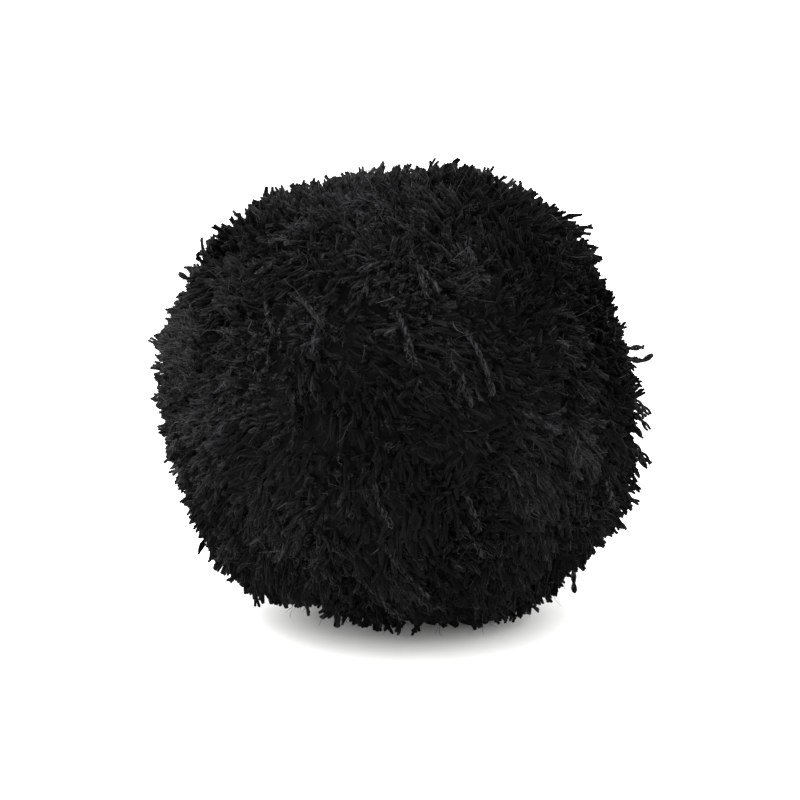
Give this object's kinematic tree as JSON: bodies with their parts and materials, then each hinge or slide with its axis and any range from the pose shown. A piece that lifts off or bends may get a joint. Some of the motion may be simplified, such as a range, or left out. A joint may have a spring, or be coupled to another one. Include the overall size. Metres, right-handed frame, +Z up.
{
  "type": "yarn pom pom",
  "caption": "Round fluffy ball of short cut yarn ends that stand out all round from a tied middle, for trimming hats, scarves and garlands.",
  "frame": {"origin": "on the surface that the ball rests on, under the centre of its outline", "axes": "+Z up; +X to the right as seen from the front, along the ball's widest way; -Y towards the front"},
  "size_m": [0.0986, 0.0966, 0.0939],
  "materials": {
    "black_acrylic_yarn": "matte, slightly fuzzy plied yarn"
  },
  "bodies": {
    "root": {"yarn_pile": "black_acrylic_yarn"}
  },
  "joints": []
}
